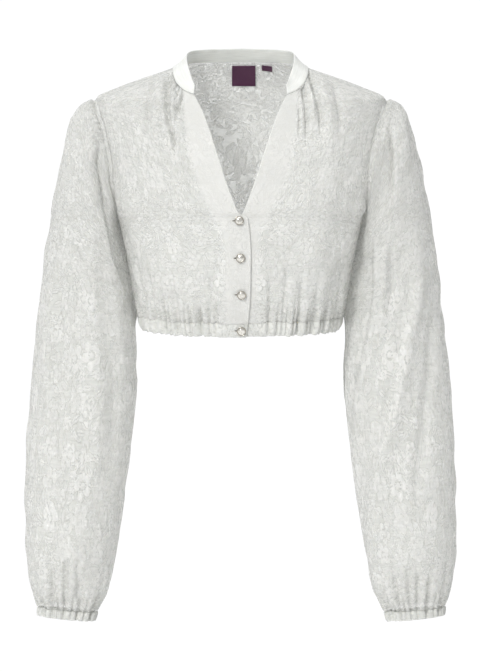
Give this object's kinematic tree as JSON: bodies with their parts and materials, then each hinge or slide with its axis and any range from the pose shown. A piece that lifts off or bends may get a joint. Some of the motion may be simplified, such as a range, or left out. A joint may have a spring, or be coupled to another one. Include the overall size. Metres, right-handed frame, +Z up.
{
  "type": "dirndl blouse",
  "caption": "Cropped V-neck blouse with a narrow stand collar, buttoned front, gathered elastic hem and long balloon sleeves, filled out as worn.",
  "frame": {"origin": "midway between the two points where the collar meets the shoulder seams, where the wearer's shoulders hold the blouse", "axes": "+Z up, the front faces -Y, +X towards the wearer's left"},
  "size_m": [0.518, 0.2304, 0.685],
  "materials": {
    "cloth": "sheer off-white jacquard with a denser floral figure, slightly crinkled",
    "facing": "two layers of the same cloth, smooth and opaque",
    "casing": "cloth gathered over elastic",
    "button": "polished pearl dome",
    "label": "woven damask tape, plain"
  },
  "bodies": {
    "root": {"front_right": "cloth", "front_left": "cloth", "facing_right": "facing", "facing_left": "facing", "back": "cloth", "collar_stand": "facing", "sleeve_right": "cloth", "sleeve_left": "cloth", "cuff_right": "casing", "cuff_left": "casing", "hem_right": "casing", "hem_left": "casing", "hem_back": "casing", "button_1": "button", "button_2": "button", "button_3": "button", "button_4": "button", "neck_label": "label", "size_tab": "label"}
  },
  "joints": []
}
